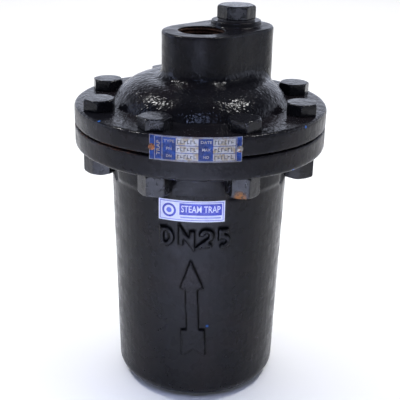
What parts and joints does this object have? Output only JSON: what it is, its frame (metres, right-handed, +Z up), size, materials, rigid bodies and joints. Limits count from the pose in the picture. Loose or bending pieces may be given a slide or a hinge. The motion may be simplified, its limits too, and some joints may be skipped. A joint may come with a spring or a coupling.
{
  "type": "inverted bucket steam trap",
  "caption": "Vertical inverted-bucket steam trap with bottom inlet, top outlet, bolted domed cap and a side test plug.",
  "frame": {"origin": "centre of the machined inlet face at the bottom of the vessel", "axes": "+Z up along the vessel's axis from inlet to outlet, -Y towards the nameplate side, +X to the right seen from there"},
  "size_m": [0.17, 0.1706, 0.2643],
  "materials": {
    "casting": "gloss black paint over the cast surface",
    "painted_bolts": "gloss black paint on steel",
    "graphite": "compressed graphite sheet, matt",
    "nameplate": "etched and colour-filled sheet",
    "rusty_steel": "surface rust",
    "label": "printed gloss film",
    "stainless": "satin stainless steel"
  },
  "bodies": {
    "root": {"body": "casting", "cap": "casting", "cover_gasket": "graphite", "flange_bolts": "painted_bolts", "flange_nuts": "painted_bolts", "test_plug": "painted_bolts", "test_plug_gasket": "graphite", "nameplate": "nameplate", "nameplate_screws": "rusty_steel", "body_label": "label", "inlet_tube": "stainless", "valve_seat": "stainless", "seat_gasket": "graphite", "lever_bracket": "stainless", "bracket_screws": "stainless", "lever_pivot_pin": "stainless"},
    "lever": {"lever": "stainless", "valve_plug": "stainless", "valve_retainer": "stainless", "bucket_hook_pin": "stainless"},
    "bucket": {"bucket": "stainless", "bucket_clip": "stainless", "clip_rivets": "stainless"}
  },
  "joints": [
    {"name": "lever_swing", "type": "hinge", "parent": "root", "child": "lever", "pos_m": [-0.042, 0, 0.17601], "axis": [0, -1, 0], "range_deg": [0, 10.29]},
    {"name": "bucket_swing", "type": "hinge", "parent": "lever", "child": "bucket", "pos_m": [-0.00068, 0, 0.16851], "axis": [0, -1, 0], "range_deg": [-10.29, 0]}
  ],
  "couplings": [
    {"joint": "bucket_swing", "follows": "lever_swing", "ratio": -1}
  ]
}
